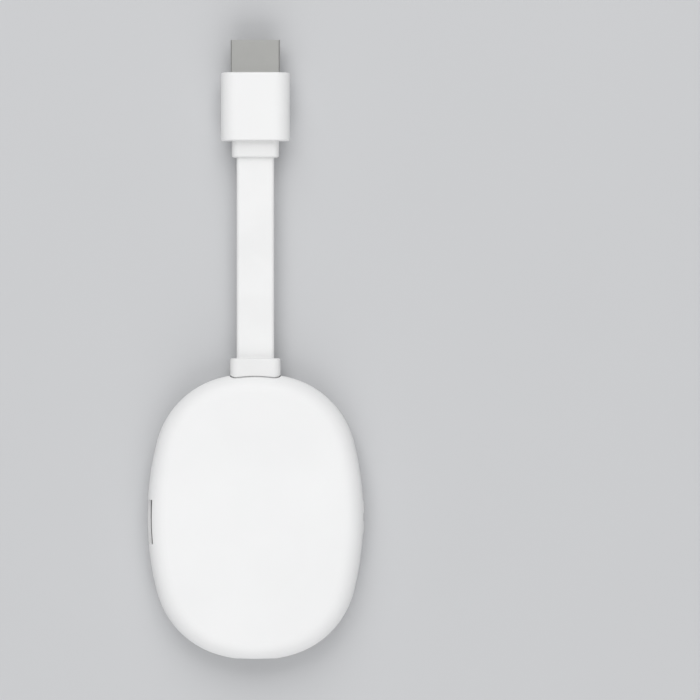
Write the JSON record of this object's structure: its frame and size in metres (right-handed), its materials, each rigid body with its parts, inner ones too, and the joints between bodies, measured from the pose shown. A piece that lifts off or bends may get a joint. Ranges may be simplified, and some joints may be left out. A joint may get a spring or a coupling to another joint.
{
  "type": "streaming stick",
  "caption": "Flat pebble-shaped streaming stick with a short flat lead to an HDMI plug, a USB-C power port, a memory card slot and a sprung side button.",
  "frame": {"origin": "on the housing's flat back, under the middle of the pebble", "axes": "+Z the way the front face looks, +Y along the lead to the plug, +X the side with the button"},
  "size_m": [0.0611, 0.1749, 0.0125],
  "materials": {
    "housing_white": "satin white moulded plastic",
    "rear_white": "fine-grained matte white plastic",
    "lead_white": "smooth white elastomer",
    "collar_white": "smooth white elastomer",
    "boot_white": "satin white moulded plastic",
    "button_white": "satin white moulded plastic",
    "plug_metal": "satin nickel plate",
    "shield_metal": "tinned sheet",
    "port_metal": "satin nickel plate",
    "spreader_metal": "milled sheet",
    "contact_gold": "gold plate",
    "wire_cover": "dark insulation",
    "board_green": "solder mask",
    "package_black": "moulded package",
    "ferrite_grey": "pressed ferrite",
    "ceramic_tan": "fired ceramic",
    "can_metal": "sealed can",
    "pad_grey": "soft gap pad",
    "insulator_black": "moulded contact carrier",
    "screw_steel": "zinc plate",
    "lens_clear": "clear moulded plastic",
    "inner_mould_grey": "low-pressure moulding"
  },
  "bodies": {
    "housing": {"front_cover": "housing_white", "rear_cover": "rear_white", "housing_grommet": "collar_white", "lead_jacket": "lead_white", "lead_conductors": "wire_cover", "main_board": "board_green", "board_screws": "screw_steel", "processor": "package_black", "memory_chips": "package_black", "flash_chip": "package_black", "power_chips": "package_black", "power_inductors": "ferrite_grey", "crystal": "can_metal", "board_capacitors": "ceramic_tan", "shield_frame": "shield_metal", "shield_lid": "shield_metal", "processor_thermal_pad": "pad_grey", "shield_thermal_pad": "pad_grey", "rear_thermal_pad": "pad_grey", "front_heat_spreader": "spreader_metal", "rear_heat_spreader": "spreader_metal", "wifi_module": "board_green", "wifi_shield": "shield_metal", "antenna_left": "contact_gold", "antenna_right": "contact_gold", "lead_connector": "insulator_black", "usb_c_shell": "port_metal", "usb_c_tongue": "insulator_black", "usb_c_contacts": "contact_gold", "card_socket_base": "insulator_black", "card_socket_cover": "port_metal", "card_socket_contacts": "contact_gold", "switch_body": "insulator_black", "status_led": "lens_clear", "light_pipe": "lens_clear"},
    "plug": {"plug_boot": "boot_white", "plug_grommet": "collar_white", "hdmi_shell": "plug_metal", "hdmi_insulator": "insulator_black", "hdmi_contacts": "contact_gold", "plug_board": "board_green", "plug_shield_can": "shield_metal", "plug_inner_mould": "inner_mould_grey"},
    "button": {"reset_button": "button_white", "switch_plunger": "insulator_black"}
  },
  "joints": [
    {"name": "lead_bend", "type": "hinge", "parent": "housing", "child": "plug", "pos_m": [0, 0.07305, 0.00625], "axis": [1, 0, 0], "range_deg": [-90, 90], "stiffness_Nm_per_rad": 0.02, "deforming": ["lead_jacket", "lead_conductors"]},
    {"name": "button_press", "type": "slide", "parent": "housing", "child": "button", "axis": [-1, 0, 0], "range_m": [0, 0.0003], "stiffness_N_per_m": 3000}
  ]
}
